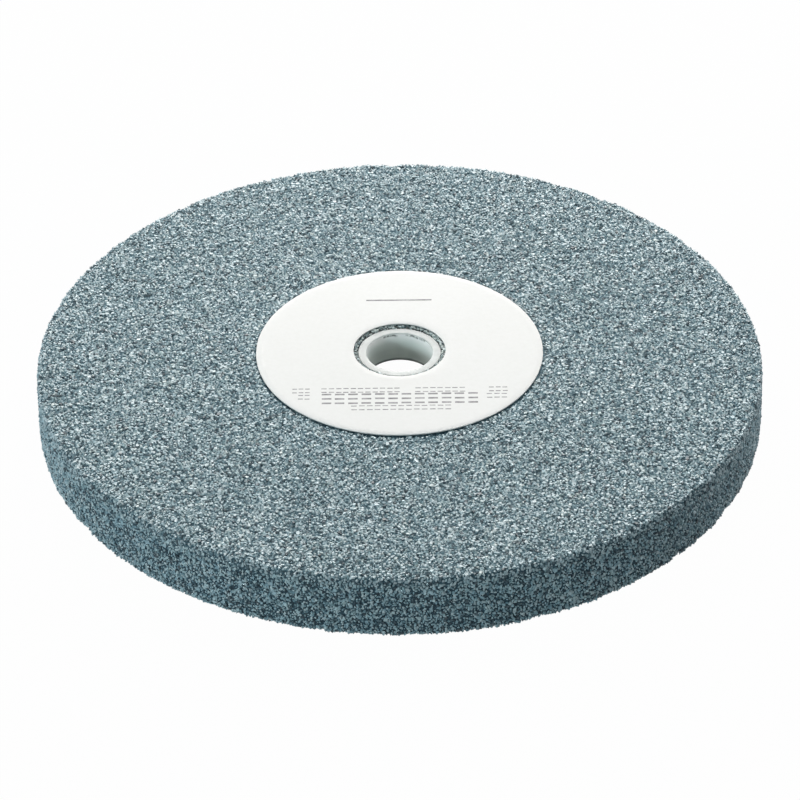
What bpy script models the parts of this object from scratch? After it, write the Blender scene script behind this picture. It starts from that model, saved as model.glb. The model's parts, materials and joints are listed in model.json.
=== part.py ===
"""Vitrified grinding wheel, 175 x 16 x 16 mm, recessed on its underside.

The wheel is one moulded and fired disc of abrasive grain. Its middle is a thinner web
that carries a plastic bore bush and, on each clamping face, a paper blotter.
Metres, +Z up. The origin is on the bore's axis, in the plane of the underside.
"""

import math

import bmesh
import bpy

# Abrasive wheel
WHEEL_DIAMETER = 0.175
WHEEL_THICKNESS = 0.016
RIM_EDGE_RADIUS = 0.0008

# Recess in the underside, which thins the middle to a web. The margin is the flat floor
# left between the rear blotter's edge and the fillet.
RECESS_DEPTH = 0.0072
RECESS_FILLET = 0.003
RECESS_MOUTH_RADIUS = 0.0008
RECESS_FLOOR_MARGIN = 0.002

# Plastic bush in the arbor hole
BORE_DIAMETER = 0.016
BUSH_WALL = 0.002
BUSH_SETBACK = 0.0004
BUSH_LIP_CHAMFER = 0.0003
ARBOR_HOLE_CHAMFER = 0.0003

# Paper blotters on the two clamping faces. The margin is the flat ring of grain that
# shows between the arbor hole's chamfer and the blotter's hole.
BLOTTER_DIAMETER = 0.0695
BLOTTER_HOLE_MARGIN = 0.00055
BLOTTER_THICKNESS = 0.0003

# Clearance between pieces that touch
SEAT_GAP = 0.0003

# Faces round a full turn, and round a quarter turn of a small or a large radius
TURN_STEPS = 120
SMALL_RADIUS_STEPS = 3
FILLET_STEPS = 5
CHAMFER_STEPS = 1

SHARP_ANGLE = math.radians(40)
MERGE_DISTANCE = 0.000001

WEB_UNDERSIDE = RECESS_DEPTH
BUSH_OUTER_RADIUS = BORE_DIAMETER / 2 + BUSH_WALL
ARBOR_HOLE_RADIUS = BUSH_OUTER_RADIUS + SEAT_GAP
BLOTTER_HOLE_RADIUS = ARBOR_HOLE_RADIUS + ARBOR_HOLE_CHAMFER + BLOTTER_HOLE_MARGIN


def clear_scene():
    for obj in list(bpy.data.objects):
        bpy.data.objects.remove(obj, do_unlink=True)


def material(name, colour, roughness, metallic=0.0):
    """A plain finish: base colour as linear RGB, roughness and metallic."""
    made = bpy.data.materials.new(name)
    made.use_nodes = True
    shader = made.node_tree.nodes["Principled BSDF"]
    shader.inputs["Base Color"].default_value = (*colour, 1.0)
    shader.inputs["Roughness"].default_value = roughness
    shader.inputs["Metallic"].default_value = metallic
    return made


def turned(name, corners, finish):
    """A solid of revolution about Z.

    corners is the half section, each corner as (radius, height, cut, steps): the corner is
    cut back by that much, as an arc of that many steps, or as a chamfer with one step.
    """
    bm = bmesh.new()
    points = [bm.verts.new((radius, 0.0, height)) for radius, height, _, _ in corners]
    for here, after in zip(points, points[1:] + points[:1]):
        bm.edges.new((here, after))
    for point, (_, _, cut, steps) in zip(points, corners):
        if cut > 0.0:
            bmesh.ops.bevel(
                bm, geom=[point], offset=cut, segments=steps, profile=0.5, affect="VERTICES", material=-1
            )
    bmesh.ops.spin(
        bm,
        geom=bm.verts[:] + bm.edges[:],
        cent=(0.0, 0.0, 0.0),
        axis=(0.0, 0.0, 1.0),
        angle=2.0 * math.pi,
        steps=TURN_STEPS,
        use_merge=True,
    )
    bmesh.ops.remove_doubles(bm, verts=bm.verts, dist=MERGE_DISTANCE)
    bmesh.ops.recalc_face_normals(bm, faces=bm.faces)
    mesh = bpy.data.meshes.new(name)
    bm.to_mesh(mesh)
    bm.free()
    mesh.shade_smooth()
    mesh.set_sharp_from_angle(angle=SHARP_ANGLE)
    mesh.materials.append(finish)
    obj = bpy.data.objects.new(name, mesh)
    bpy.context.scene.collection.objects.link(obj)
    return obj


def abrasive_wheel():
    """The grain body: rounded rim edges, arbor hole, and the filleted recess from below."""
    rim = WHEEL_DIAMETER / 2
    recess = BLOTTER_DIAMETER / 2 + RECESS_FLOOR_MARGIN + RECESS_FILLET
    corners = [
        (rim, 0.0, RIM_EDGE_RADIUS, SMALL_RADIUS_STEPS),
        (rim, WHEEL_THICKNESS, RIM_EDGE_RADIUS, SMALL_RADIUS_STEPS),
        (ARBOR_HOLE_RADIUS, WHEEL_THICKNESS, ARBOR_HOLE_CHAMFER, CHAMFER_STEPS),
        (ARBOR_HOLE_RADIUS, WEB_UNDERSIDE, ARBOR_HOLE_CHAMFER, CHAMFER_STEPS),
        (recess, WEB_UNDERSIDE, RECESS_FILLET, FILLET_STEPS),
        (recess, 0.0, RECESS_MOUTH_RADIUS, SMALL_RADIUS_STEPS),
    ]
    return turned("abrasive_wheel", corners, material("blue_grey_grain", (0.24, 0.30, 0.32), 0.85))


def bore_bush():
    """The plastic sleeve in the arbor hole, set back a little from both faces of the web."""
    bore = BORE_DIAMETER / 2
    bottom = WEB_UNDERSIDE + BUSH_SETBACK
    top = WHEEL_THICKNESS - BUSH_SETBACK
    outline = [(bore, bottom), (BUSH_OUTER_RADIUS, bottom), (BUSH_OUTER_RADIUS, top), (bore, top)]
    corners = [(radius, height, BUSH_LIP_CHAMFER, CHAMFER_STEPS) for radius, height in outline]
    return turned("bore_bush", corners, material("grey_plastic", (0.68, 0.68, 0.67), 0.45))


def blotter(name, bottom):
    """A thin paper washer that spreads the flange's clamping force."""
    top = bottom + BLOTTER_THICKNESS
    outer = BLOTTER_DIAMETER / 2
    inner = BLOTTER_HOLE_RADIUS
    outline = [(inner, bottom), (outer, bottom), (outer, top), (inner, top)]
    corners = [(radius, height, 0.0, CHAMFER_STEPS) for radius, height in outline]
    return turned(name, corners, material(name + "_paper", (0.86, 0.86, 0.84), 0.75))


def main():
    clear_scene()
    abrasive_wheel()
    bore_bush()
    blotter("front_blotter", WHEEL_THICKNESS + SEAT_GAP)
    blotter("rear_blotter", WEB_UNDERSIDE - SEAT_GAP - BLOTTER_THICKNESS)


main()
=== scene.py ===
# %% [markdown]
# # A vitrified grinding wheel
#
# A grinding wheel is crushed aluminium oxide, mixed with clay and glass, pressed into a disc and
# fired until the glass holds the grains together at their corners. What the eye sees is therefore
# not a smooth disc with a speckled print, but tens of thousands of sharp little stones standing on
# a dark, porous body. This lesson builds it that way: a rough body first, then real grains on it,
# then the plastic bush in its bore and the paper washers that its clamping flanges press on.
#
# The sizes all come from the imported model, so every piece here lies where its solid lies.

import json
import math
import random

import bmesh
import bpy
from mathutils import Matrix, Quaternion, Vector, noise

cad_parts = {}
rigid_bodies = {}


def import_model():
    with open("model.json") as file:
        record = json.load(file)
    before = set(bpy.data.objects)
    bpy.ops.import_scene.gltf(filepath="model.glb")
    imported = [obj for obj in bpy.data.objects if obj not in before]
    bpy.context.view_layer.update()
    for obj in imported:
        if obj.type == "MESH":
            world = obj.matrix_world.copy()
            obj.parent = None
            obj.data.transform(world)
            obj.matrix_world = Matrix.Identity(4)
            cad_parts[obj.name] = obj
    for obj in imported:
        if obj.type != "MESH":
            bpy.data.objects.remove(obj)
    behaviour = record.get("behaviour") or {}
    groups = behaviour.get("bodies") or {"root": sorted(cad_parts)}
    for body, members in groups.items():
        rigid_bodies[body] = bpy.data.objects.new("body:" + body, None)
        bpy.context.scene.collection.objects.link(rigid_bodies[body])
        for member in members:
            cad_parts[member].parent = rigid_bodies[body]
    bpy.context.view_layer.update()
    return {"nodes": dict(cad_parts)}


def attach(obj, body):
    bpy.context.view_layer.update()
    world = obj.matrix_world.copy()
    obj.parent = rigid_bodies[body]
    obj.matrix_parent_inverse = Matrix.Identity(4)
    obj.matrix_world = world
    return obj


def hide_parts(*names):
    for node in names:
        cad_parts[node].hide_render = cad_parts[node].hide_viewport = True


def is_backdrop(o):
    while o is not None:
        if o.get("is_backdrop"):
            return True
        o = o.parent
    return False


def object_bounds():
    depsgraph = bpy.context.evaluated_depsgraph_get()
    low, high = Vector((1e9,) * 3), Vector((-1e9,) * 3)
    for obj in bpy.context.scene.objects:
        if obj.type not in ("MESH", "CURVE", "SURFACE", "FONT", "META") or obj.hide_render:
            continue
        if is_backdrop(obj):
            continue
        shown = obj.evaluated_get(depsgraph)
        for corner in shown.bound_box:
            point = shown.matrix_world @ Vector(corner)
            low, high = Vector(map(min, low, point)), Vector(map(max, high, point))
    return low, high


MM = 0.001
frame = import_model()


def turned_corners(node):
    """The (radius, height) of every corner of a turned solid."""
    return [(math.hypot(v.co.x, v.co.y), v.co.z) for v in frame["nodes"][node].data.vertices]


def span(node):
    """The inner radius, outer radius, lowest and highest point of a turned solid."""
    radii, heights = zip(*turned_corners(node))
    return min(radii), max(radii), min(heights), max(heights)


ARBOR_RADIUS, WHEEL_RADIUS, WHEEL_BOTTOM, WHEEL_TOP = span("abrasive_wheel")
BORE_RADIUS, BUSH_RADIUS, BUSH_BOTTOM, BUSH_TOP = span("bore_bush")
PAPER_HOLE, PAPER_RADIUS, PAPER_BOTTOM, PAPER_TOP = span("front_blotter")
REAR_PAPER_BOTTOM, REAR_PAPER_TOP = span("rear_blotter")[2:]
WHEEL_CORNERS = turned_corners("abrasive_wheel")
WEB_UNDERSIDE = min(z for r, z in WHEEL_CORNERS if r < PAPER_RADIUS)
LEVEL_WITHIN = 0.01 * MM
RECESS_FLOOR = max(r for r, z in WHEEL_CORNERS if abs(z - WEB_UNDERSIDE) < LEVEL_WITHIN)
# The recess's wall is straight between these heights, above its mouth's round and below its fillet.
WALL_FROM, WALL_TO = 0.7 * MM, 4.5 * MM
RECESS_RADIUS = min(r for r, z in WHEEL_CORNERS if WALL_FROM < z < WALL_TO)
print(f"wheel {2 * WHEEL_RADIUS / MM:.1f} x {WHEEL_TOP / MM:.1f} mm, bore {2 * BORE_RADIUS / MM:.1f} mm")
print(f"recess {2 * RECESS_RADIUS / MM:.1f} mm across, web from {WEB_UNDERSIDE / MM:.1f} mm up")

# %% [markdown]
# ## The camera
#
# A product photograph is taken with a long lens from well back, so that the disc's ellipse hardly
# narrows towards the rear. The camera stands at a known distance and height from the middle of the
# top face and looks a little below it, which puts the wheel where the photograph has it.

# %% Place the camera
CAMERA_DISTANCE = 0.711
CAMERA_ELEVATION = math.radians(34.85)
LENS = 131.9
AIM_BELOW = math.radians(0.966)
CAMERA_ROLL = math.radians(-0.6)

camera_data = bpy.data.cameras.new("photo_camera")
camera_data.lens = LENS
camera = bpy.data.objects.new("photo_camera", camera_data)
bpy.context.scene.collection.objects.link(camera)
camera.location = (
    0.0,
    -CAMERA_DISTANCE * math.cos(CAMERA_ELEVATION),
    WHEEL_TOP + CAMERA_DISTANCE * math.sin(CAMERA_ELEVATION),
)
pitch = CAMERA_ELEVATION + AIM_BELOW
sight = Vector((0.0, math.cos(pitch), -math.sin(pitch)))
camera.rotation_mode = "QUATERNION"
camera.rotation_quaternion = sight.to_track_quat("-Z", "Y") @ Quaternion((0.0, 0.0, 1.0), CAMERA_ROLL)
bpy.context.scene.camera = camera
print(f"camera at {tuple(round(x, 3) for x in camera.location)}")

# %% [markdown]
# ## Shader nodes as arithmetic
#
# Node trees get long when every sum is a node that has to be placed and linked by hand. The class
# below wraps one socket, so that `0.4 + 0.6 * grit` adds the Math nodes by itself. Every other node,
# in materials and in geometry trees alike, comes from its method node(), and a few kinds that are
# needed often have a method of their own.

# %% A socket that does arithmetic
def pick(sockets, key):
    """The socket with this number, or the first one in use with this name."""
    if isinstance(key, int):
        return sockets[key]
    return next(s for s in sockets if s.enabled and s.name == key)


class Wire:
    """An output of a node tree that arithmetic works on. A new tree starts with a Wire of no socket."""

    def __init__(self, tree, socket=None):
        self.tree = tree
        self.socket = socket

    def node(self, kind, settings=None, inputs=None, output=None):
        """Adds a node, sets it up, fills or links its inputs, and returns one of its outputs."""
        made = self.tree.nodes.new(kind)
        for key, value in (settings or {}).items():
            if key == "stops":
                fill_ramp(made.color_ramp, value)
            else:
                setattr(made, key, value)
        for key, value in (inputs or {}).items():
            socket = pick(made.inputs, key)
            if isinstance(value, Wire):
                self.tree.links.new(value.socket, socket)
            else:
                socket.default_value = value
        usable = [s for s in made.outputs if s.enabled]
        if not usable:
            return Wire(self.tree)
        return Wire(self.tree, usable[0] if output is None else pick(made.outputs, output))

    def beside(self, output):
        """Another output of the same node."""
        return Wire(self.tree, pick(self.socket.node.outputs, output))

    def maths(self, operation, first, second):
        """A Math node on two numbers or wires."""
        return self.node("ShaderNodeMath", {"operation": operation}, {0: first, 1: second})

    def __add__(self, other):
        return self.maths("ADD", self, other)

    def __sub__(self, other):
        return self.maths("SUBTRACT", self, other)

    def __rsub__(self, other):
        return self.maths("SUBTRACT", other, self)

    def __mul__(self, other):
        return self.maths("MULTIPLY", self, other)

    def __lt__(self, other):
        return self.maths("LESS_THAN", self, other)

    def __gt__(self, other):
        return self.maths("GREATER_THAN", self, other)

    __radd__ = __add__
    __rmul__ = __mul__

    def mixed(self, first, second):
        """Two colours mixed by this wire."""
        return self.node("ShaderNodeMix", {"data_type": "RGBA"}, {"Factor": self, "A": first, "B": second})

    def tinted(self, share, cast):
        """This colour multiplied by a cast, as far as the share says."""
        settings = {"data_type": "RGBA", "blend_type": "MULTIPLY"}
        return self.node("ShaderNodeMix", settings, {"Factor": share, "A": self, "B": cast})

    def ramped(self, stops):
        """The colour that a ramp of (place, colour) stops has at this wire's value."""
        return self.node("ShaderNodeValToRGB", {"stops": stops}, {"Fac": self})

    def clouded(self, scale, detail, roughness=0.5):
        """A noise texture read at this place."""
        inputs = {"Vector": self, "Scale": scale, "Detail": detail, "Roughness": roughness}
        return self.node("ShaderNodeTexNoise", {}, inputs)

    def embossed(self, strength, distance):
        """The surface's direction when this wire's value is its height."""
        inputs = {"Strength": strength, "Distance": distance, "Height": self}
        return self.node("ShaderNodeBump", {}, inputs)

    def parts(self):
        """A node that splits this vector: its first output is X, and Y and Z are beside it."""
        return self.node("ShaderNodeSeparateXYZ", {}, {0: self})


def fill_ramp(ramp, stops):
    """Gives a colour ramp its (place, colour) stops."""
    while len(ramp.elements) < len(stops):
        ramp.elements.new(1.0)
    for element, (place, colour) in zip(ramp.elements, stops):
        element.position = place
        element.color = colour


def new_material(name):
    """An empty material with a Principled shader, and the wire that its nodes start from."""
    material = bpy.data.materials.new(name)
    material.use_nodes = True
    return material, Wire(material.node_tree)


def dress(material, sockets):
    """Fills or links the sockets of the material's Principled shader."""
    shader = material.node_tree.nodes["Principled BSDF"]
    for name, value in sockets.items():
        if isinstance(value, Wire):
            material.node_tree.links.new(value.socket, shader.inputs[name])
        else:
            shader.inputs[name].default_value = value


def linear(part):
    """The sRGB curve, from a screen's 0 to 255 to the linear numbers that shaders use."""
    share = part / 255
    return share / 12.92 if share <= 0.04045 else ((share + 0.055) / 1.055) ** 2.4


def rgb(red, green, blue):
    """A colour given as it looks on screen, each part from 0 to 255."""
    return (linear(red), linear(green), linear(blue), 1.0)


print("shader helpers ready")

# %% [markdown]
# ## Floor and light
#
# The wheel lies on a plain pale floor. The camera sees the floor and the world as white: the Light
# Path node answers the camera's rays, and those that glossy and clear surfaces send on, with a
# glow. Every other ray meets the real, duller floor and a dim world, so the white costs the wheel
# no contrast. The dim world is bluish, because shade is.

# %% Build the floor and the world
FLOOR_SIZE = 6.0
FLOOR_COLOUR = (0.27, 0.31, 0.33, 1.0)
FLOOR_GLOW_SHARE = 0.985
WORLD_STRENGTH = 0.15
WHITE = (1.0, 1.0, 1.0, 1.0)
SHADE_BLUE = (0.78, 0.97, 1.0, 1.0)


def seen_directly(start):
    """1 for rays from the camera, from shiny surfaces and through clear ones, else 0."""
    path = start.node("ShaderNodeLightPath", output="Is Camera Ray")
    shiny = start.maths("MAXIMUM", path, path.beside("Is Glossy Ray"))
    return start.maths("MAXIMUM", shiny, path.beside("Is Transmission Ray"))


def new_piece(name, bm, material, smooth=True):
    """Makes an object in one material of a bmesh."""
    mesh = bpy.data.meshes.new(name)
    bm.to_mesh(mesh)
    bm.free()
    mesh.materials.append(material)
    if smooth:
        mesh.shade_smooth()
    piece = bpy.data.objects.new(name, mesh)
    bpy.context.scene.collection.objects.link(piece)
    return piece


def build_floor():
    """A plain square that glows white to the camera."""
    material, start = new_material("pale_floor")
    dress(material, {"Base Color": FLOOR_COLOUR, "Roughness": 0.9})
    glow = start.node("ShaderNodeEmission", {}, {"Strength": 1.0})
    shader = Wire(start.tree, start.tree.nodes["Principled BSDF"].outputs[0])
    share = seen_directly(start) * FLOOR_GLOW_SHARE
    both = start.node("ShaderNodeMixShader", {}, {0: share, 1: shader, 2: glow})
    start.tree.links.new(both.socket, start.tree.nodes["Material Output"].inputs["Surface"])
    bm = bmesh.new()
    bmesh.ops.create_grid(bm, x_segments=1, y_segments=1, size=FLOOR_SIZE / 2)
    floor = new_piece("floor", bm, material, smooth=False)
    floor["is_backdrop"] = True


def build_world():
    """A world that is white to the camera and a dim, bluish light to everything else."""
    world = bpy.data.worlds.new("studio")
    world.use_nodes = True
    bpy.context.scene.world = world
    start = Wire(world.node_tree)
    direct = seen_directly(start)
    background = world.node_tree.nodes["Background"]
    strength = WORLD_STRENGTH + (1.0 - WORLD_STRENGTH) * direct
    world.node_tree.links.new(strength.socket, background.inputs["Strength"])
    colour = direct.mixed(SHADE_BLUE, WHITE)
    world.node_tree.links.new(colour.socket, background.inputs["Color"])


build_floor()
build_world()
print("floor and world ready")

# %% [markdown]
# The main lamp is large, soft and a little warm. It hangs behind the wheel and above it, so its
# light sweeps over the top face towards the camera, and the rim's front gets none of it. That makes
# the rim much darker than the face, which is what tells the eye that the disc is thick. Two soft
# lamps at the sides and a small bluish one in front on the left give the rim its own, dimmer light.

# %% Hang the lamps
LAMP_WARM = (1.0, 0.955, 0.922)
LAMP_PLAIN = (1.0, 1.0, 1.0)
LAMP_BLUE = (0.78, 0.96, 1.0)
LAMPS = (
    # name, width in metres, watts, colour, place in metres
    ("overhead_softbox", 0.75, 12.3, LAMP_WARM, (0.03, 0.66, 0.46)),
    ("right_softbox", 0.6, 3.7, LAMP_PLAIN, (1.0, 0.40, 0.45)),
    ("left_softbox", 0.6, 2.8, LAMP_PLAIN, (-1.0, 0.0, 0.40)),
    ("front_fill", 0.16, 5.0, LAMP_BLUE, (-0.84, -0.90, 0.36)),
)


def hang_lamp(name, width, watts, colour, place):
    """A square soft lamp that faces the wheel."""
    data = bpy.data.lights.new(name, "AREA")
    data.shape = "SQUARE"
    data.size = width
    data.energy = watts
    data.color = colour
    lamp = bpy.data.objects.new(name, data)
    bpy.context.scene.collection.objects.link(lamp)
    lamp.location = place
    lamp.rotation_mode = "QUATERNION"
    lamp.rotation_quaternion = (-Vector(place)).to_track_quat("-Z", "Y")


for lamp_settings in LAMPS:
    hang_lamp(*lamp_settings)
bpy.context.scene.view_settings.view_transform = "Standard"
print(f"{len(LAMPS)} lamps ready")

# %% [markdown]
# ## The body
#
# The body is a solid of revolution, so it starts as half of its section, drawn as a loop of edges.
# Bevelling the section's corners rounds the real edges, subdividing its sides gives the surface
# enough points to be rough, and one spin about the bore's axis makes the disc. It is kept a little
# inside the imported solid, because the grains stand proud of it. Only the rim's foot comes out
# further than the solid, by the slight draft that the wheel has.

# %% Turn the body
# How far the body lies inside the solid: on the faces, on the rim, in the hole and underneath.
GRAIN_STAND = 0.36 * MM
RIM_STAND = 0.20 * MM
ARBOR_STAND = 0.12 * MM
UNDERSIDE_STAND = 0.12 * MM
SPIN_STEPS = 420
FINE_PITCH = 1.25 * MM
COARSE_PITCH = 3.0 * MM
TOP_ROUND = 0.6 * MM
BOTTOM_ROUND = 0.25 * MM
RIM_DRAFT = 0.5 * MM
RIM_FOOT_ROUND = 1.2 * MM
ARBOR_ROUND = 0.2 * MM
# The grains round the arbor hole reach a little way under the paper. The body is coarse where it is
# well under a paper, or well below the top.
GRIT_RING = PAPER_HOLE + 0.2 * MM
COARSE_FROM = 1.0 * MM
MERGE_DISTANCE = 0.001 * MM


def section_loop(bm, corners):
    """Draws a closed half section. A corner is (radius, height, rounding, steps of that round)."""
    points = [bm.verts.new((radius, 0.0, height)) for radius, height, _, _ in corners]
    for here, after in zip(points, points[1:] + points[:1]):
        bm.edges.new((here, after))
    for point, (_, _, rounding, steps) in zip(points, corners):
        if rounding > 0.0:
            bmesh.ops.bevel(
                bm,
                geom=[point],
                offset=rounding,
                segments=steps,
                profile=0.5,
                affect="VERTICES",
                material=-1,
            )


def subdivide_sides(bm, pitch_at):
    """Cuts each side of the section into steps of the pitch that pitch_at gives at its middle."""
    for edge in list(bm.edges):
        middle = (edge.verts[0].co + edge.verts[1].co) / 2
        cuts = int(edge.calc_length() / pitch_at(middle.x, middle.z))
        if cuts > 0:
            bmesh.ops.subdivide_edges(bm, edges=[edge], cuts=cuts)


def settle_order(bm):
    """Sorts edges and faces by their corners, because a spin lists them differently in each run."""
    bm.verts.index_update()
    count = len(bm.verts)

    def corner_key(part):
        """One number that stands for the lowest and the highest corner of an edge or face."""
        numbers = [vert.index for vert in part.verts]
        return min(numbers) * count + max(numbers)

    for parts in (bm.edges, bm.faces):
        parts.sort(key=corner_key)


def spin_section(bm, steps):
    """Turns the section into a closed solid about the bore's axis."""
    geometry = bm.verts[:] + bm.edges[:]
    bmesh.ops.spin(
        bm, geom=geometry, cent=(0, 0, 0), axis=(0, 0, 1), angle=math.tau, steps=steps, use_merge=True
    )
    bmesh.ops.remove_doubles(bm, verts=bm.verts, dist=MERGE_DISTANCE)
    bmesh.ops.recalc_face_normals(bm, faces=bm.faces)
    settle_order(bm)


def body_pitch(radius, height):
    """The surface is fine where it shows, and coarse under the front paper and in the recess."""
    under_front = radius < PAPER_RADIUS - COARSE_FROM and height > WEB_UNDERSIDE
    in_recess = radius < RECESS_RADIUS and height < WHEEL_TOP - COARSE_FROM
    return COARSE_PITCH if under_front or in_recess else FINE_PITCH


def turn_body():
    """The smooth body, as a bmesh."""
    top = WHEEL_TOP - GRAIN_STAND
    rim = WHEEL_RADIUS - RIM_STAND
    underside = WHEEL_BOTTOM + UNDERSIDE_STAND
    recess = RECESS_RADIUS + GRAIN_STAND
    web = WEB_UNDERSIDE + GRAIN_STAND
    arbor = ARBOR_RADIUS + ARBOR_STAND
    seat = PAPER_RADIUS - COARSE_FROM
    fillet = RECESS_RADIUS - RECESS_FLOOR
    bm = bmesh.new()
    section_loop(
        bm,
        [
            (rim + RIM_DRAFT, underside, RIM_FOOT_ROUND, 4),
            (rim, top, TOP_ROUND, 3),
            (seat, top, 0.0, 1),
            (GRIT_RING, top, 0.0, 1),
            (arbor, top, ARBOR_ROUND, 1),
            (arbor, web, ARBOR_ROUND, 1),
            (recess, web, fillet, 4),
            (recess, underside, BOTTOM_ROUND, 2),
        ],
    )
    subdivide_sides(bm, body_pitch)
    spin_section(bm, SPIN_STEPS)
    return bm


body_mesh = turn_body()
print(f"body turned, {len(body_mesh.faces)} faces")

# %% [markdown]
# The pressing leaves the surface uneven at two scales: single grains stand high or low, and whole
# clumps do. Both are moves along the surface's own direction by a smooth noise. The rim's two edges
# have lost grains in handling, so there a third noise bites into the edge wherever it is high.

# %% Roughen the body
# Each relief is the size of its lumps and how far they move the surface.
GRAIN_RELIEF = (1.4 * MM, 0.10 * MM)
CLUMP_RELIEF = (5.0 * MM, 0.07 * MM)
CHIP_RELIEF = (4.2 * MM, 1.7 * MM)
CHIP_LEAST = 0.2
CHIP_REACH = 2.0 * MM
# Each noise is read in a region of its own, so that no two of them rise and fall together.
NOISE_REGION = {
    "relief": 0.0,
    "clump": 7.0,
    "chip": 19.0,
    "tone": 31.0,
    "tint": 57.0,
    "cockle": 11.0,
    "fuzz": 3.0,
}


def noise_at(place, size, use):
    """A smooth noise from about -1 to 1, whose lumps are about as far apart as size."""
    shift = NOISE_REGION[use]
    return noise.noise(place / size + Vector((shift, shift, shift)))


def edge_nearness(place):
    """1 on the rim's upper or lower edge, falling to 0 a little way off."""
    out = WHEEL_RADIUS - math.hypot(place.x, place.y)
    height = min(WHEEL_TOP - place.z, place.z - WHEEL_BOTTOM)
    return max(0.0, 1.0 - math.hypot(out, height) / CHIP_REACH)


def roughen_body(bm):
    """Moves every point of the body out or in."""
    bm.normal_update()
    for vert in bm.verts:
        grain = GRAIN_RELIEF[1] * noise_at(vert.co, GRAIN_RELIEF[0], "relief")
        clump = CLUMP_RELIEF[1] * noise_at(vert.co, CLUMP_RELIEF[0], "clump")
        lost = max(0.0, noise_at(vert.co, CHIP_RELIEF[0], "chip") - CHIP_LEAST)
        chip = CHIP_RELIEF[1] * lost * edge_nearness(vert.co)
        vert.co += vert.normal * (grain + clump - chip)


roughen_body(body_mesh)
print("body roughened")

# %% [markdown]
# The body carries what the grains have to know. Under the papers there are none, and on the
# underside there are fewer and larger ones, because nobody looks there. Two slow noises gather
# lighter and tinted grains into patches, and the last mark tells the rim, where the grains and the
# bond between them get a painted blue shade.

# %% Mark where grains stand
UNDERSIDE_DENSITY = 0.30
UNDERSIDE_COARSENESS = 1.4
CLUMP_TONE_SIZE = 3.5 * MM
CLUMP_TINT_SIZE = 2.6 * MM
# Painted shade on the rim begins this far below the top face and is full this far down.
RIM_SHADE_START = 0.3 * MM
RIM_SHADE_FULL = 3.0 * MM
# How far each band reaches from the radius or height that it is measured from.
UNDERSIDE_BAND = 0.7 * MM
RIM_EDGE_BAND = 1.0 * MM
RECESS_BAND = 1.0 * MM
TOP_BAND = 2.0 * MM
RIM_BAND = 2.0 * MM
BUSH_BAND = 0.1 * MM
PAPER_TUCK = 0.2 * MM


def is_underneath(place):
    """True on the wheel's underside and in the recess."""
    radius = math.hypot(place.x, place.y)
    low = place.z < WHEEL_BOTTOM + UNDERSIDE_BAND and radius < WHEEL_RADIUS - RIM_EDGE_BAND
    return low or (radius < RECESS_RADIUS + RECESS_BAND and place.z < WHEEL_TOP - TOP_BAND)


def grain_cover(place):
    """How much of the full number of grains this place of the body gets."""
    radius = math.hypot(place.x, place.y)
    if radius < ARBOR_RADIUS + BUSH_BAND or GRIT_RING < radius < PAPER_RADIUS - PAPER_TUCK:
        return 0.0
    return UNDERSIDE_DENSITY if is_underneath(place) else 1.0


def rim_shade_mark(place):
    """Painted rim shade: 0 on the faces, 1 on the rim, gradual below its top edge; -1 round the bush."""
    radius = math.hypot(place.x, place.y)
    if radius < WHEEL_RADIUS - RIM_BAND:
        return -1.0 if radius < GRIT_RING + BUSH_BAND else 0.0
    down = WHEEL_TOP - place.z
    return max(0.0, min(1.0, (down - RIM_SHADE_START) / (RIM_SHADE_FULL - RIM_SHADE_START)))


def mark_body(body):
    """Stores the grain cover by face, and four values for the grains by vertex."""
    mesh = body.data
    places = [vert.co for vert in mesh.vertices]
    marks = {
        "cover": [grain_cover(face.center) for face in mesh.polygons],
        "coarse": [UNDERSIDE_COARSENESS if is_underneath(place) else 1.0 for place in places],
        "clump": [0.5 + 0.5 * noise_at(place, CLUMP_TONE_SIZE, "tone") for place in places],
        "patch": [0.5 + 0.5 * noise_at(place, CLUMP_TINT_SIZE, "tint") for place in places],
        # The rim mark says where the grains and the bond get painted shade.
        "rim": [rim_shade_mark(place) for place in places],
    }
    for name, numbers in marks.items():
        stored = mesh.attributes.new(name, "FLOAT", "FACE" if name == "cover" else "POINT")
        stored.data.foreach_set("value", numbers)
    return tuple(marks)


# %% [markdown]
# Between the grains the eye looks down on the fired bond. It is dark and blue-green with a fine
# speckle, darker still down the rim, where that is painted shade, and a plain grey where it meets
# the bush.

# %% Colour the bond between the grains
BOND_STOPS = [(0.35, rgb(24, 52, 63)), (0.52, rgb(66, 96, 108)), (0.70, rgb(122, 148, 157))]
ARBOR_STOPS = [(0.35, rgb(36, 38, 38)), (0.65, rgb(122, 124, 122))]
# The colour that lays a painted blue shade over the bond down the rim.
RIM_BOND_SHADE = (0.34, 0.43, 0.48, 1.0)
GRIT_SCALE = 1500.0
GRIT_BUMP = 0.6
GRIT_DEPTH = 0.15 * MM


def distance_from_axis(place):
    """How far a place lies from the bore's axis, in a shader."""
    flat = place.node("ShaderNodeVectorMath", {"operation": "MULTIPLY"}, {0: place, 1: (1.0, 1.0, 0.0)})
    return place.node("ShaderNodeVectorMath", {"operation": "LENGTH"}, {0: flat}, output="Value")


def body_material():
    """The fired bond, with painted shade down the rim where the rim mark says."""
    material, start = new_material("fired_bond")
    place = start.node("ShaderNodeTexCoord", output="Object")
    grit = place.clouded(GRIT_SCALE, detail=2.0)
    rim = start.node("ShaderNodeAttribute", {"attribute_name": "rim"}, output="Fac")
    # The rim mark multiplies the bond by the painted rim shade.
    bond = grit.ramped(BOND_STOPS).tinted(rim, RIM_BOND_SHADE)
    colour = (distance_from_axis(place) < GRIT_RING).mixed(bond, grit.ramped(ARBOR_STOPS))
    bump = grit.embossed(GRIT_BUMP, GRIT_DEPTH)
    dress(material, {"Base Color": colour, "Roughness": 0.85, "Normal": bump})
    return material


body = new_piece("wheel_body", body_mesh, body_material())
BODY_MARKS = mark_body(body)
print(f"{body.name}: {len(body.data.polygons)} faces")

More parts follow.
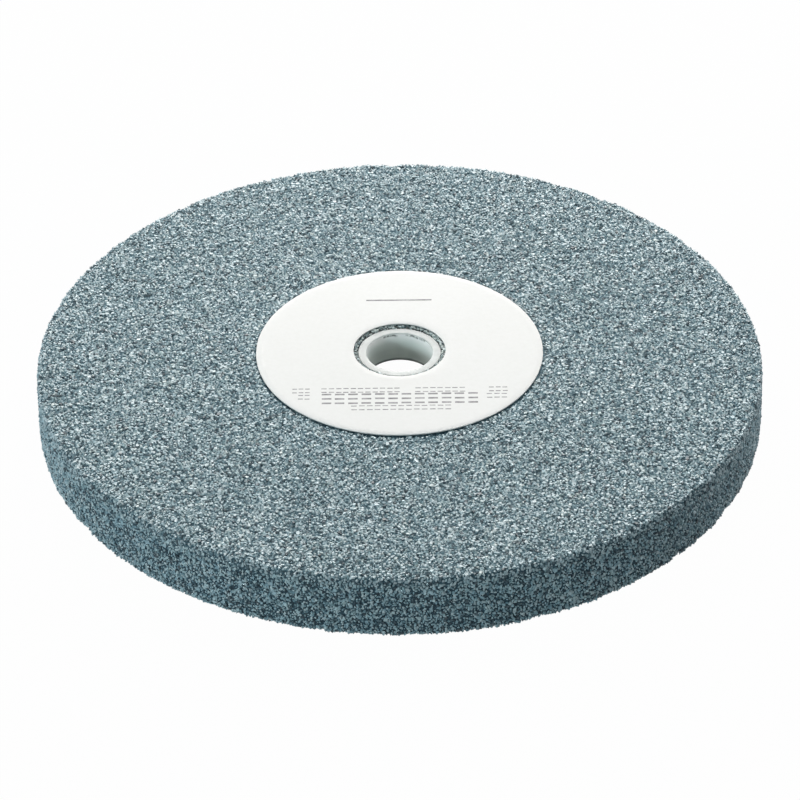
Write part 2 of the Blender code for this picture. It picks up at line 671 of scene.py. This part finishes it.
# %% [markdown]
# ## The grains
#
# Crushed aluminium oxide breaks into blocky splinters with flat, sharp faces. At this size a block
# of eight corners or a splinter of six, its corners pulled about at random, is enough, so a small
# set of both is made once. A geometry tree then spreads points over the body at the grains' own
# spacing, sets a turned and scaled crystal on each, and makes them real. Six trees share one set
# of points, each taking its own share, because the wheel is a mix of white, grey, slate and glassy
# grains and each kind has its own tones and gloss. A diamond has trued the wheel's faces and rim,
# so what stands past them is pressed back: on the top a third of it is kept, on the rim half, and
# on the underside nothing.
#
# A grain's colour is one point of a small palette. The tree writes that point as the grain's UV
# map, so that all faces of a grain have its colour, and the palette bakes to one smooth picture.

# %% Break the crystals
SPLINTER_KINDS = 7
BLOCK_KINDS = 5
BLOCK_HALF = 0.66
CRYSTAL_SEED = 46
CRYSTAL_STRETCH = (0.7, 1.2)
CORNER_PULL = 0.28


def break_crystals():
    """A collection of splinters and blocks, each about one unit in radius, with flat faces."""
    shapes = bpy.data.collections.new("crystals")
    dice = random.Random(CRYSTAL_SEED)
    for number in range(SPLINTER_KINDS + BLOCK_KINDS):
        bm = bmesh.new()
        if number < SPLINTER_KINDS:
            bmesh.ops.create_uvsphere(bm, u_segments=4, v_segments=2, radius=1.0)
        else:
            bmesh.ops.create_cube(bm, size=2 * BLOCK_HALF)
        stretch = Vector([dice.uniform(*CRYSTAL_STRETCH) for _ in range(3)])
        for vert in bm.verts:
            pull = Vector([dice.uniform(-CORNER_PULL, CORNER_PULL) for _ in range(3)])
            vert.co = (vert.co + pull) * stretch
        bmesh.ops.recalc_face_normals(bm, faces=bm.faces)
        mesh = bpy.data.meshes.new(f"crystal_{number}")
        bm.to_mesh(mesh)
        bm.free()
        shapes.objects.link(bpy.data.objects.new(mesh.name, mesh))
    return shapes


crystals = break_crystals()

# %% [markdown]
# The grain tree below reads better when its commonest nodes have short names.

# %% Wires for geometry trees
GRAIN_SEEDS = {
    "place": 5,
    "lift": 11,
    "tone": 12,
    "hue": 13,
    "kind": 14,
    "turn": 15,
    "size": 16,
    "shape": 17,
}


def chance(start, low, high, use, kind="FLOAT"):
    """A random number, or three of them, for each point."""
    inputs = {"Min": low, "Max": high, "Seed": GRAIN_SEEDS[use]}
    return start.node("FunctionNodeRandomValue", {"data_type": kind}, inputs)


def attribute(start, name, kind="FLOAT"):
    """What a mark says at each point."""
    return start.node("GeometryNodeInputNamedAttribute", {"data_type": kind}, {"Name": name})


def store(points, name, value, kind="FLOAT", domain="POINT"):
    """The same geometry with one more mark."""
    settings = {"data_type": kind, "domain": domain}
    inputs = {"Geometry": points, "Name": name, "Value": value}
    return points.node("GeometryNodeStoreNamedAttribute", settings, inputs)


def vector_maths(operation, first, second):
    """A Vector Math node on two vectors."""
    return first.node("ShaderNodeVectorMath", {"operation": operation}, {0: first, 1: second})


def scaled(vector, factor):
    """A vector made longer or shorter."""
    return vector.node("ShaderNodeVectorMath", {"operation": "SCALE"}, {0: vector, "Scale": factor})


def position(start):
    """Where each point is."""
    return start.node("GeometryNodeInputPosition")


# %% [markdown]
# Each point gets a tone and a tint, mostly by chance and partly by the patch that it lies in. On the
# wheel's faces the tint lies in the palette's upper part, and down the rim it sinks to the blue
# foot, which is painted shade. The faces of one grain read the palette a hair apart, so that each
# has its own spot there.

# %% Spread the grains over the body
GRAIN_PITCH = 0.50 * MM
GRAIN_TRIES = 12.0 / (MM * MM)
GRAIN_RADIUS = 0.40 * MM
GRAIN_SPREAD = (0.75, 1.25)
GRAIN_LIFT = (-0.10 * MM, 0.16 * MM)
CLUMP_IN_TONE = 0.1
PATCH_IN_TINT = 0.35
TINT_REACH = 0.4
PALETTE_MARGIN = 0.02
PALETTE_MAP = "OFBake"
PALETTE_ACROSS = (9.0, 0.0, 4.0)
PALETTE_ALONG = (0.0, 9.0, 5.0)
# The share that is kept of what stands past a level, and the levels, measured up from the solid's
# faces.
TOP_KEPT = 0.34
RIM_KEPT = 0.55
TOP_LEVEL = -0.05 * MM
UNDERSIDE_LEVEL = 0.02 * MM


def within_palette(value):
    """Keeps a value from 0 to 1 a little way off the palette's edges."""
    return PALETTE_MARGIN + (1.0 - 2 * PALETTE_MARGIN) * value


def grain_points(start, body_surface):
    """Points at the grains' spacing, each pushed a little in or out, with its tone, tint and centre."""
    points = body_surface.node(
        "GeometryNodeDistributePointsOnFaces",
        {"distribute_method": "POISSON"},
        {
            "Mesh": body_surface,
            "Distance Min": GRAIN_PITCH,
            "Density Max": GRAIN_TRIES,
            "Density Factor": attribute(start, "cover"),
            "Seed": GRAIN_SEEDS["place"],
        },
    )
    lift = scaled(points.beside("Normal"), chance(start, *GRAIN_LIFT, "lift"))
    points = start.node("GeometryNodeSetPosition", {}, {"Geometry": points, "Offset": lift})
    by_chance = (1.0 - CLUMP_IN_TONE) * chance(start, 0.0, 1.0, "tone")
    tone = by_chance + CLUMP_IN_TONE * attribute(start, "clump")
    by_chance = (1.0 - PATCH_IN_TINT) * chance(start, 0.0, 1.0, "hue")
    hue = by_chance + PATCH_IN_TINT * attribute(start, "patch")
    # Down the rim the tint sinks to the palette's foot, the painted blue shade.
    tint = TINT_REACH * hue + (1.0 - TINT_REACH) * (1.0 - attribute(start, "rim"))
    tint = start.maths("MINIMUM", tint, 1.0)
    points = store(store(points, "tone", within_palette(tone)), "tint", within_palette(tint))
    return store(points, "centre", position(start), "FLOAT_VECTOR")


def palette_point(start):
    """The grain's tone and tint as a point of the palette, plus a hair's width for each face."""
    offset = vector_maths("SUBTRACT", position(start), attribute(start, "centre", "FLOAT_VECTOR"))
    across = vector_maths("DOT_PRODUCT", offset, PALETTE_ACROSS).beside("Value")
    along = vector_maths("DOT_PRODUCT", offset, PALETTE_ALONG).beside("Value")
    pair = {"X": attribute(start, "tone") + across, "Y": attribute(start, "tint") + along}
    return start.node("ShaderNodeCombineXYZ", {}, pair)


def trued(start, grains):
    """Presses back what stands past the top face and the rim, and cuts off what is past the underside."""
    place = position(start).parts()
    height = place.beside("Z")
    top = (1.0 - TOP_KEPT) * (WHEEL_TOP + TOP_LEVEL)
    height = start.maths("MINIMUM", height, top + TOP_KEPT * height)
    height = start.maths("MAXIMUM", height, WHEEL_BOTTOM + UNDERSIDE_LEVEL)
    flat = start.node("ShaderNodeCombineXYZ", {}, {"X": place, "Y": place.beside("Y")})
    radius = start.node("ShaderNodeVectorMath", {"operation": "LENGTH"}, {0: flat}, output="Value")
    drafted = WHEEL_RADIUS + RIM_DRAFT - (RIM_DRAFT / WHEEL_TOP) * height
    pressed = start.maths("MINIMUM", radius, (1.0 - RIM_KEPT) * drafted + RIM_KEPT * radius)
    shrink = start.maths("DIVIDE", pressed, radius)
    upright = start.node("ShaderNodeCombineXYZ", {}, {"Z": height})
    moved = vector_maths("ADD", scaled(flat, shrink), upright)
    return start.node("GeometryNodeSetPosition", {}, {"Geometry": grains, "Position": moved})


def grain_tree(name, share, material):
    """The geometry tree that leaves, of a body, only the grains whose chance lies in share."""
    tree = bpy.data.node_groups.new(name, "GeometryNodeTree")
    tree.interface.new_socket("Body", in_out="INPUT", socket_type="NodeSocketGeometry")
    tree.interface.new_socket("Grains", in_out="OUTPUT", socket_type="NodeSocketGeometry")
    start = Wire(tree)
    points = grain_points(start, start.node("NodeGroupInput", output="Body"))
    draw = chance(start, 0.0, 1.0, "kind")
    turn = chance(start, (0.0, 0.0, 0.0), (math.tau, math.tau, math.tau), "turn", "FLOAT_VECTOR")
    size = GRAIN_RADIUS * (chance(start, *GRAIN_SPREAD, "size") * attribute(start, "coarse"))
    one_by_one = {"Collection": crystals, "Separate Children": True}
    shapes = start.node("GeometryNodeCollectionInfo", {}, one_by_one)
    grains = start.node(
        "GeometryNodeInstanceOnPoints",
        {},
        {
            "Points": points,
            "Selection": (draw > share[0]) * (draw < share[1]),
            "Instance": shapes,
            "Pick Instance": True,
            "Instance Index": chance(start, 0, SPLINTER_KINDS + BLOCK_KINDS - 1, "shape", "INT"),
            "Rotation": start.node("FunctionNodeEulerToRotation", {}, {0: turn}),
            "Scale": size,
        },
    )
    grains = start.node("GeometryNodeRealizeInstances", {}, {0: grains})
    grains = store(grains, PALETTE_MAP, palette_point(start), "FLOAT2", "CORNER")
    grains = trued(start, grains)
    grains = start.node("GeometryNodeSetMaterial", {}, {"Geometry": grains, "Material": material})
    start.node("NodeGroupOutput", {}, {"Grains": grains})
    return tree


def forget(mesh, names):
    """Drops helper attributes that the finished mesh has no use for."""
    for name in names:
        if name in mesh.attributes:
            mesh.attributes.remove(mesh.attributes[name])


def grow_grains(name, share, material):
    """Runs the tree on a stand-in for the body and keeps what it makes as a plain mesh."""
    seedbed = bpy.data.objects.new(name + "_seedbed", body.data)
    bpy.context.scene.collection.objects.link(seedbed)
    modifier = seedbed.modifiers.new("grains", "NODES")
    modifier.node_group = grain_tree(name, share, material)
    graph = bpy.context.evaluated_depsgraph_get()
    mesh = bpy.data.meshes.new_from_object(seedbed.evaluated_get(graph))
    bpy.data.objects.remove(seedbed)
    mesh.name = name
    forget(mesh, ("tone", "tint", "centre", *BODY_MARKS))
    mesh.shade_flat()
    piece = bpy.data.objects.new(name, mesh)
    bpy.context.scene.collection.objects.link(piece)
    mesh.calc_loop_triangles()
    print(f"{name}: {len(mesh.loop_triangles)} triangles")
    return piece


# %% [markdown]
# A palette has the kind's tones across, from dark to light, and its casts upwards, the lowest of
# which is the rim's painted shade. The whitest kind hardly takes the casts and that shade, so it
# stays white among tinted neighbours.

# %% Give each kind of grain its palette
CASTS_AND_RIM_SHADE = [
    # painted blue shade for the rim at the palette's foot, then nearly plain colours, and a warm grey
    # at its head
    (0.0, (0.50, 0.67, 0.77, 1.0)),
    (0.3, (0.96, 1.0, 1.0, 1.0)),
    (0.6, (1.0, 0.98, 1.0, 1.0)),
    (0.8, (1.0, 1.0, 1.0, 1.0)),
    (1.0, (1.0, 0.93, 0.86, 1.0)),
]


def grain_material(name, stops, roughness, coat, cast_and_shade_share):
    """The grain's map reads a palette: its tone across, its casts and painted rim shade upwards."""
    material, start = new_material(name)
    place = start.node("ShaderNodeUVMap", {"uv_map": PALETTE_MAP}).parts()
    colour = place.ramped(stops).tinted(cast_and_shade_share, place.beside("Y").ramped(CASTS_AND_RIM_SHADE))
    dress(material, {"Base Color": colour, "Roughness": roughness, "Coat Weight": coat})
    return material


GRAIN_KINDS = {
    # share of all grains, tones from dark to light, roughness, coat, how much of the casts and the
    # rim's painted shade it takes
    "white_grains": ((0.0, 0.14), [(0.0, rgb(184, 199, 204)), (1.0, rgb(200, 212, 216))], 0.7, 0.02, 0.2),
    "pale_grains": ((0.14, 0.34), [(0.0, rgb(178, 196, 201)), (1.0, rgb(201, 214, 218))], 0.65, 0.03, 1.0),
    "ash_grains": ((0.34, 0.51), [(0.0, rgb(156, 179, 186)), (1.0, rgb(188, 206, 211))], 0.55, 0.05, 1.0),
    "grey_grains": ((0.51, 0.68), [(0.0, rgb(118, 145, 154)), (1.0, rgb(164, 185, 192))], 0.55, 0.05, 1.0),
    "slate_grains": ((0.68, 0.82), [(0.0, rgb(16, 42, 52)), (1.0, rgb(88, 113, 122))], 0.5, 0.06, 1.0),
    "glassy_grains": ((0.82, 1.0), [(0.0, rgb(142, 166, 174)), (1.0, rgb(202, 215, 219))], 0.5, 0.05, 1.0),
}

grains = [
    grow_grains(name, share, grain_material(name, *finish))
    for name, (share, *finish) in GRAIN_KINDS.items()
]
for shape in list(crystals.objects):
    bpy.data.objects.remove(shape)
bpy.data.collections.remove(crystals)
forget(body.data, [name for name in BODY_MARKS if name != "rim"])

# %% [markdown]
# ## The bush
#
# The arbor hole of a fired wheel is rough and a little too large, so a plastic sleeve is cast into
# it and its bore is the accurate one. Its section is turned like the body's. The bore's upper lip
# is well rounded, and where the casting's skin was trimmed off it, two ragged scars were left just
# inside the lip. They are real grooves, cut by moving the points of the wall outwards, and an
# attribute tells the material how much painted shade to lay in them.

# %% Turn the bush
BUSH_STEPS = 300
LIP_ROUND = 0.25 * MM
BUSH_ROUND = 0.1 * MM
FOOT_ROUND = 0.1 * MM
BUSH_PITCH = 0.5 * MM
SCAR_PITCH = 0.1 * MM
SCAR_ZONE = 1.3 * MM
SCARS = ((37.0, 80.0), (91.0, 121.0))
SCAR_BELOW_TOP = 0.62 * MM
SCAR_WANDER = 0.22 * MM
SCAR_HALF_WIDTH = 0.4 * MM
SCAR_DEPTH = 0.25 * MM
# Angles in degrees: how far round the bore a scar's wandering and its raggedness change, and how
# long its ends fade. The rows keep the two noises apart.
WANDER_ANGLE = 6.0
WANDER_ROW = 0.5
RAGGED_ANGLE = 3.1
RAGGED_ROW = 4.2
RAGGED_MEAN = 0.75
RAGGED_SWING = 1.2
SCAR_FADE_ANGLE = 4.0
SCAR_SIDE = 0.1 * MM


def noise_round(angle, step, row):
    """A smooth noise round the bore's axis."""
    return noise.noise(Vector((angle / step, row, 0.0)))


def scar_strength(place):
    """How deep in one of the two scars a point of the bore's wall lies, from 0 to 1."""
    angle = math.degrees(math.atan2(place.y, place.x))
    reach = max(min(angle - start, end - angle) for start, end in SCARS)
    if reach < 0.0:
        return 0.0
    wander = SCAR_WANDER * noise_round(angle, WANDER_ANGLE, WANDER_ROW)
    off = abs(place.z - (BUSH_TOP - SCAR_BELOW_TOP + wander)) / SCAR_HALF_WIDTH
    ragged = RAGGED_MEAN + RAGGED_SWING * noise_round(angle, RAGGED_ANGLE, RAGGED_ROW)
    return max(0.0, 1.0 - off) * max(0.0, min(1.0, ragged)) * min(1.0, reach / SCAR_FADE_ANGLE)


def scar_bush(bm):
    """Cuts the scars into the wall, and returns how deep each point lies in them."""
    depths = []
    for vert in bm.verts:
        radius = math.hypot(vert.co.x, vert.co.y)
        depth = scar_strength(vert.co) if radius < BORE_RADIUS + LIP_ROUND else 0.0
        vert.co.xy *= 1.0 + depth * SCAR_DEPTH / radius
        depths.append(depth)
    return depths


def bush_pitch(radius, height):
    """The bore's wall is fine where the scars are cut."""
    near_scars = radius < BORE_RADIUS + SCAR_SIDE and height > BUSH_TOP - SCAR_ZONE
    return SCAR_PITCH if near_scars else BUSH_PITCH


def turn_bush(material):
    """The bush, with its scars cut and marked."""
    bm = bmesh.new()
    section_loop(
        bm,
        [
            (BORE_RADIUS, BUSH_BOTTOM, FOOT_ROUND, 2),
            (BUSH_RADIUS, BUSH_BOTTOM, FOOT_ROUND, 2),
            (BUSH_RADIUS, BUSH_TOP, BUSH_ROUND, 3),
            (BORE_RADIUS, BUSH_TOP, LIP_ROUND, 5),
            (BORE_RADIUS, BUSH_TOP - SCAR_ZONE, 0.0, 1),
        ],
    )
    subdivide_sides(bm, bush_pitch)
    spin_section(bm, BUSH_STEPS)
    depths = scar_bush(bm)
    piece = new_piece("bore_sleeve", bm, material)
    # How deep each point lies in a scar says how much painted shade it gets.
    dirt = piece.data.attributes.new("dirt", "FLOAT", "POINT")
    dirt.data.foreach_set("value", depths)
    return piece


# %% [markdown]
# The bore's wall is painted with light and shade: a dark line at the lip's edge, light just under
# the lip, darker towards its foot, and a dark line at the foot. The plastic is milky: light enters
# at the lip and spreads a few millimetres before it comes out. The lip's front carries painted shade
# too.

# %% Finish the bush
MILKINESS = 0.45
MILK_DEPTH = 4.0 * MM
WALL_ROUGHNESS = 0.42
WALL_ROUGHNESS_SWING = 0.12
WALL_LIGHT_AND_SHADE_STOPS = [
    # share of the way down the bore, and the painted light and shade there: dark at the lip's edge,
    # light under it, darker down the wall, and a dark painted line at the foot
    (0.0, rgb(162, 168, 168)),
    (0.02, rgb(198, 204, 203)),
    (0.05, rgb(248, 251, 250)),
    (0.15, rgb(247, 250, 249)),
    (0.35, rgb(220, 227, 223)),
    (0.6, rgb(198, 205, 200)),
    (0.9, rgb(204, 211, 206)),
    (0.95, rgb(98, 106, 102)),
    (1.0, rgb(92, 100, 96)),
]
# The painted shade laid in the scars and along the lip's front.
PAINTED_SHADE = rgb(58, 64, 64)
CLOUD_SCALE = 260.0
CLOUD_SHIFT = 0.04
SCRATCH_SCALE = 2400.0
SCRATCH_BUMP = 0.25
SCRATCH_DEPTH = 0.03 * MM
# How dark and how wide the painted shade along the lip's front is.
FRONT_LIP_SHADE = 0.35
LIP_SHADE_WIDTH = 0.28 * MM
LIP_DEPTH = 0.07


def share_between(value, low, high):
    """0 where a wire is at low, 1 where it is at high, and in proportion between them."""
    inputs = {"Value": value, "From Min": low, "From Max": high}
    return value.node("ShaderNodeMapRange", {}, inputs)


def front_lip_shade(place, depth):
    """Painted shade along the front of the bore's lip."""
    forward = share_between(place.parts().beside("Y"), 0.0, -BORE_RADIUS)
    on_lip = (distance_from_axis(place) < BORE_RADIUS + LIP_SHADE_WIDTH) * (depth < LIP_DEPTH)
    return FRONT_LIP_SHADE * forward * on_lip


def bush_material():
    """Milky plastic with painted light and shade on its wall, and painted shade in its scars."""
    material, start = new_material("cast_plastic")
    place = start.node("ShaderNodeTexCoord", output="Object")
    depth = share_between(place.parts().beside("Z"), BUSH_TOP, BUSH_BOTTOM)
    cloud = place.clouded(CLOUD_SCALE, detail=3.0)
    # The wall's colour is painted light and shade, by depth down the bore.
    painted_wall = (depth + CLOUD_SHIFT * (cloud - 0.5)).ramped(WALL_LIGHT_AND_SHADE_STOPS)
    # How deep each point lies in a scar, which sets its painted shade.
    dirt = start.node("ShaderNodeAttribute", {"attribute_name": "dirt"}, output="Fac")
    bump = place.clouded(SCRATCH_SCALE, detail=2.0).embossed(SCRATCH_BUMP, SCRATCH_DEPTH)
    dress(
        material,
        {
            # painted light and shade on the wall, with painted shade in the scars and at the lip's front
            "Base Color": (dirt + front_lip_shade(place, depth)).mixed(painted_wall, PAINTED_SHADE),
            "Roughness": WALL_ROUGHNESS + WALL_ROUGHNESS_SWING * cloud,
            "Subsurface Weight": MILKINESS,
            "Subsurface Radius": (1.0, 1.0, 1.0),
            "Subsurface Scale": MILK_DEPTH,
            "Normal": bump,
        },
    )
    return material


bush = turn_bush(bush_material())
print(f"{bush.name}: {len(bush.data.polygons)} faces")

# %% [markdown]
# ## The papers
#
# A blotter is a disc of thick, soft paper between the wheel and the steel flange. Paper is never
# quite flat, so its disc gets a faint cockle, and its cut edge a little fuzz. One function says how
# far the cockle lowers a point, because the ink has to lie on the same surface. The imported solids
# leave a hair of clearance under each paper, and here the paper settles onto the grains.

# %% Cut the papers
PAPER_STEPS = 360
PAPER_PITCH = 1.6 * MM
PAPER_EDGE = 0.06 * MM
COCKLE_SIZE = 22.0 * MM
COCKLE_DEPTH = 0.03 * MM
FUZZ_SIZE = 1.1 * MM
FUZZ_WIDTH = 1.0 * MM
FUZZ_REACH = 0.05 * MM
INK_HEIGHT = 0.012 * MM
PAPER_SETTLE = 0.26 * MM
FRONT_PAPER_TOP = PAPER_TOP - PAPER_SETTLE
PAPER_STOPS = [(0.3, rgb(214, 215, 214)), (0.7, rgb(220, 221, 221))]
FIBRE_SCALE = 900.0
FIBRE_ROUGHNESS = 0.65
FIBRE_BUMP = 0.25
FIBRE_DEPTH = 0.03 * MM
STAIN_SCALE = 40.0
STAIN_SHARE = 0.4


def cockle(x, y):
    """How far the paper lies below flat at a point."""
    return COCKLE_DEPTH * (0.5 + 0.5 * noise_at(Vector((x, y, 0.0)), COCKLE_SIZE, "cockle"))


def paper_material():
    """Soft white paper, uneven by its fibres and by faint stains."""
    material, start = new_material("blotting_paper")
    place = start.node("ShaderNodeTexCoord", output="Object")
    fibre = place.clouded(FIBRE_SCALE, detail=4.0, roughness=FIBRE_ROUGHNESS)
    stain = place.clouded(STAIN_SCALE, detail=3.0)
    colour = ((1.0 - STAIN_SHARE) * fibre + STAIN_SHARE * stain).ramped(PAPER_STOPS)
    bump = fibre.embossed(FIBRE_BUMP, FIBRE_DEPTH)
    dress(material, {"Base Color": colour, "Roughness": 0.8, "Normal": bump})
    return material


def cut_paper(name, low, high, material):
    """A washer of paper between two heights."""
    bm = bmesh.new()
    corners = [(PAPER_HOLE, low), (PAPER_RADIUS, low), (PAPER_RADIUS, high), (PAPER_HOLE, high)]
    section_loop(bm, [(radius, height, PAPER_EDGE, 2) for radius, height in corners])
    subdivide_sides(bm, lambda radius, height: PAPER_PITCH)
    spin_section(bm, PAPER_STEPS)
    for vert in bm.verts:
        radius = math.hypot(vert.co.x, vert.co.y)
        nearest_edge = min(PAPER_RADIUS - radius, radius - PAPER_HOLE)
        frayed = max(0.0, 1.0 - nearest_edge / FUZZ_WIDTH)
        fuzz = FUZZ_REACH * frayed * noise_at(vert.co, FUZZ_SIZE, "fuzz")
        vert.co.z -= cockle(vert.co.x, vert.co.y)
        vert.co.xy *= 1.0 + fuzz / radius
    return new_piece(name, bm, material)


paper = paper_material()
front_paper = cut_paper("front_paper", PAPER_BOTTOM - PAPER_SETTLE, FRONT_PAPER_TOP - INK_HEIGHT, paper)
rear_paper = cut_paper("rear_paper", REAR_PAPER_BOTTOM + PAPER_SETTLE, REAR_PAPER_TOP + PAPER_SETTLE, paper)
print(f"{front_paper.name}: {len(front_paper.data.polygons)} faces")

# %% [markdown]
# The front paper carries rows of short plain dashes in grey ink before the bore, and a plain rule
# behind it. Each dash is a thin block on the paper, set down a hair off its line as a needle printer
# does, and the ink's colour is uneven because the ribbon was worn.

# %% Print the dashes
INK_SEED = 7
INK_JITTER = 0.05 * MM
INK_STOPS = [(0.3, rgb(92, 92, 96)), (0.7, rgb(150, 150, 153))]
WORN_SCALE = 700.0
DASH_SHARE = 0.72
ROWS = (
    # in millimetres: left end, right end, middle, height of a cell; then how many cells there are
    # and how many dashes in each; last, in millimetres, how thick a dash is
    (-25.8, -21.2, -16.8, 1.5, 3, 2, 0.34),
    (-18.9, 0.2, -16.8, 1.5, 11, 2, 0.34),
    (3.4, 15.8, -16.8, 1.5, 7, 2, 0.34),
    (21.0, 25.8, -16.8, 1.5, 3, 2, 0.34),
    (-24.4, -21.2, -19.4, 1.5, 2, 2, 0.34),
    (20.4, 25.6, -19.4, 1.5, 3, 2, 0.34),
    (-19.0, 18.9, -20.2, 3.6, 12, 3, 0.62),
    (-11.8, 12.3, -23.9, 1.5, 13, 2, 0.34),
    (-8.1, 8.1, 21.5, 0.0, 1, 1, 0.55),
)


def lay_dash(bm, middle, length, thickness):
    """One thin block of ink on the paper."""
    block = bmesh.ops.create_cube(bm, size=1.0)["verts"]
    bmesh.ops.scale(bm, vec=(length, thickness, INK_HEIGHT), verts=block)
    bmesh.ops.translate(bm, vec=middle, verts=block)


def ink_material():
    """Grey ink from a worn ribbon."""
    material, start = new_material("ribbon_ink")
    place = start.node("ShaderNodeTexCoord", output="Object")
    ink = place.clouded(WORN_SCALE, detail=3.0).ramped(INK_STOPS)
    dress(material, {"Base Color": ink, "Roughness": 0.7})
    return material


def print_rows(material):
    """All rows of dashes, as one piece."""
    dice = random.Random(INK_SEED)
    bm = bmesh.new()
    for left, right, middle, height, cells, dashes, thickness in ROWS:
        pitch = (right - left) / cells
        for cell in range(cells):
            for dash in range(dashes):
                x = (left + (cell + 0.5) * pitch) * MM + dice.uniform(-INK_JITTER, INK_JITTER)
                rise = height * (dash / (dashes - 1) - 0.5) if dashes > 1 else 0.0
                y = (middle + rise) * MM + dice.uniform(-INK_JITTER, INK_JITTER)
                share = DASH_SHARE if cells > 1 else 1.0
                top = FRONT_PAPER_TOP - INK_HEIGHT - cockle(x, y)
                lay_dash(bm, (x, y, top), share * pitch * MM, thickness * MM)
    return new_piece("print_dashes", bm, material, smooth=False)


dashes = print_rows(ink_material())
print(f"{dashes.name}: {len(dashes.data.polygons)} faces")

# %% [markdown]
# ## Joining the frame
#
# Each piece rides on the wheel's one body, and the imported solids that the pieces stand for are
# hidden. A table lists a finish for each piece, which nothing here applies.

# %% Ride and replace
WEARS = {
    body: "abrasive_grain",
    **{piece: "abrasive_grain" for piece in grains},
    bush: "bush_plastic",
    front_paper: "blotter_paper",
    rear_paper: "blotter_paper",
    dashes: "blotter_paper",
}
for piece, slot in WEARS.items():
    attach(piece, "root")
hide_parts("abrasive_wheel")
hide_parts("bore_bush")
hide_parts("front_blotter")
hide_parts("rear_blotter")

seen_low, seen_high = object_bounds()
low_mm = [round(part / MM, 2) for part in seen_low]
high_mm = [round(part / MM, 2) for part in seen_high]
print(f"visual box {low_mm} to {high_mm} mm")
